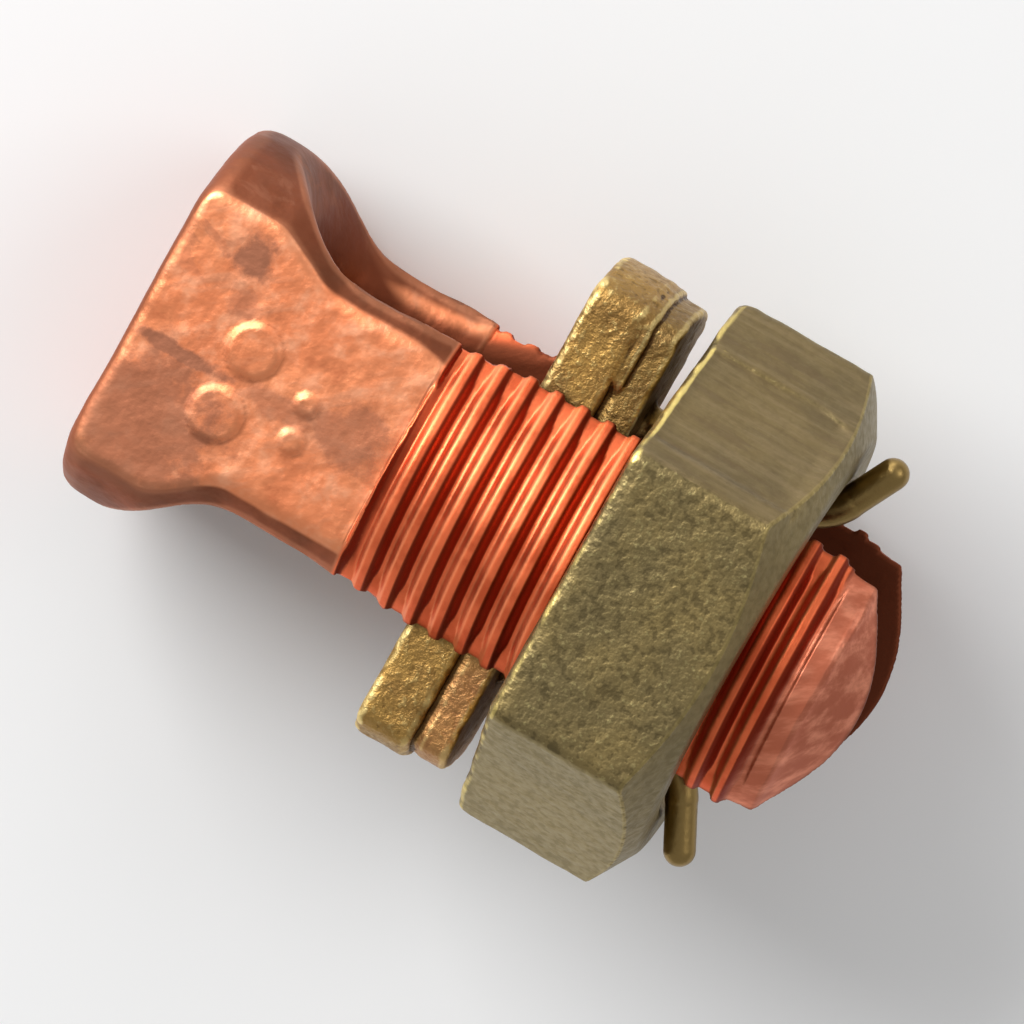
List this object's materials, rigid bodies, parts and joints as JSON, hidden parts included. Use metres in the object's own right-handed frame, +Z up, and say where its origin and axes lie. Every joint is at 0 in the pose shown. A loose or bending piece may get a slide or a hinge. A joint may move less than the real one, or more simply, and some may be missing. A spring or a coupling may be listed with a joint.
{
  "type": "split bolt connector",
  "caption": "Split bolt cable connector: a slotted bolt with flat-sided head, a hexagon nut and a winged pressure bar that the nut drives down the slot.",
  "frame": {"origin": "centre of the bounding box on the surface that the part lies on", "axes": "+X from the head towards the tip along the floor (the bolt's axis is tipped up from it by 12.788 degrees), +Y along the cables that the slot holds, +Z up"},
  "size_m": [0.046, 0.0322, 0.0292],
  "materials": {
    "bolt_copper": "forged copper alloy, bright with brown patches, thread cut",
    "bar_brass": "rough cast brass",
    "nut_bronze": "sand-cast bronze with a turned outer face"
  },
  "bodies": {
    "bolt": {"split_bolt": "bolt_copper"},
    "bar": {"pressure_bar": "bar_brass"},
    "nut": {"hex_nut": "nut_bronze"}
  },
  "joints": [
    {"name": "bar_slide", "type": "slide", "parent": "bolt", "child": "bar", "axis": [0.9752, 0, 0.2213], "range_m": [-0.0106, 0.0138]},
    {"name": "nut_turn", "type": "hinge", "parent": "bar", "child": "nut", "pos_m": [0.01018, 0, 0.01466], "axis": [0.9752, 0, 0.2213], "range_deg": [-2400, 3120]}
  ],
  "couplings": [
    {"joint": "bar_slide", "follows": "nut_turn", "m_per_rad": 0.00025266}
  ]
}
